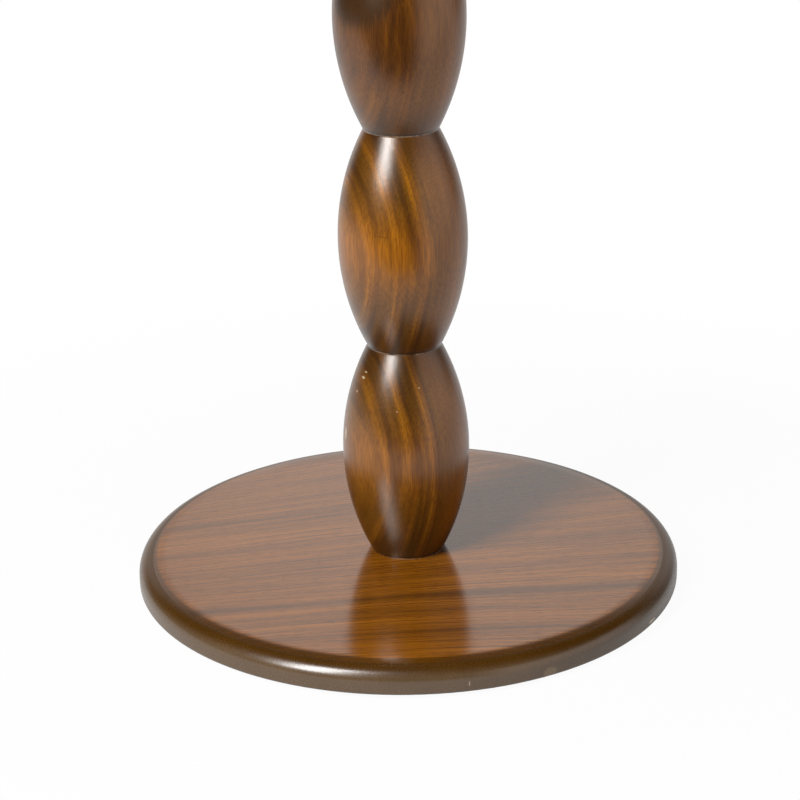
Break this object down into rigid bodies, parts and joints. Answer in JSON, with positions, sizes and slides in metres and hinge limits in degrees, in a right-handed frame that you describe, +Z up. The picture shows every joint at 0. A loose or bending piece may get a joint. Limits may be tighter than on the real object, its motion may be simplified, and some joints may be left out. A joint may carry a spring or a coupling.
{
  "type": "wine table",
  "caption": "Small round pedestal table: veneered disc plinth, turned column of long ovoid bobbins, and round veneered top for drinks or a lamp.",
  "frame": {"origin": "on the floor under the centre of the plinth, in the plane of the undersides of the felt pads", "axes": "+Z up along the column, -Y towards the side that the picture was taken from"},
  "size_m": [0.35, 0.35, 0.516],
  "materials": {
    "felt": "pressed brown felt",
    "back_veneer": "plain balancing veneer, sealed",
    "toned_mdf": "fibreboard, edge toned dark walnut and lacquered satin",
    "walnut_veneer": "straight-grained walnut veneer under satin gloss lacquer",
    "turned_hardwood": "turned, stained walnut and lacquered glossy",
    "black_steel": "black powder coat",
    "zinc_steel": "bright zinc plate"
  },
  "bodies": {
    "root": {"felt_pad_1": "felt", "felt_pad_2": "felt", "felt_pad_3": "felt", "felt_pad_4": "felt", "base_back_veneer": "back_veneer", "base_panel": "toned_mdf", "base_face_veneer": "walnut_veneer", "base_bolt": "zinc_steel", "base_spring_washer": "zinc_steel", "base_flat_washer": "zinc_steel", "foot_insert": "zinc_steel", "column": "turned_hardwood", "head_insert": "zinc_steel", "mounting_plate": "black_steel", "plate_bolt": "zinc_steel", "plate_screws": "zinc_steel", "top_back_veneer": "back_veneer", "top_panel": "toned_mdf", "top_face_veneer": "walnut_veneer"}
  },
  "joints": []
}
